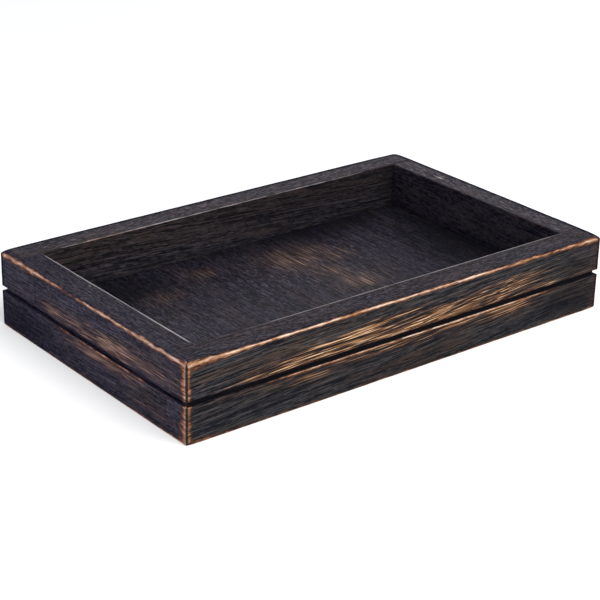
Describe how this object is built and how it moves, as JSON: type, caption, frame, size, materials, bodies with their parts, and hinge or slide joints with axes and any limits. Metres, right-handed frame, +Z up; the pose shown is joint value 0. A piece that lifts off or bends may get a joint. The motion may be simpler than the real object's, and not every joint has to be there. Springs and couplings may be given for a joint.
{
  "type": "display tray",
  "caption": "Shallow rectangular display tray of dark worn oak: grooved walls with rabbeted mitre corners round a captured floor panel, for setting out food or small goods.",
  "frame": {"origin": "Centre of the tray's footprint, on the surface that it stands on", "axes": "+X along the long side, +Y from the front rail to the back rail, +Z up, out of the open top"},
  "size_m": [0.33, 0.204, 0.051],
  "materials": {
    "rail_wood": "near-black stained oak, satin, rubbed through to orange-tan wood along the edges",
    "panel_wood": "near-black stained oak veneer, satin, with a sanded golden patch",
    "dowel_wood": "plain bare beech"
  },
  "bodies": {
    "root": {"front_rail": "rail_wood", "back_rail": "rail_wood", "left_rail": "rail_wood", "right_rail": "rail_wood", "floor_panel": "panel_wood", "dowel_front_left_upper": "dowel_wood", "dowel_front_left_lower": "dowel_wood", "dowel_front_right_upper": "dowel_wood", "dowel_front_right_lower": "dowel_wood", "dowel_back_left_upper": "dowel_wood", "dowel_back_left_lower": "dowel_wood", "dowel_back_right_upper": "dowel_wood", "dowel_back_right_lower": "dowel_wood"}
  },
  "joints": []
}
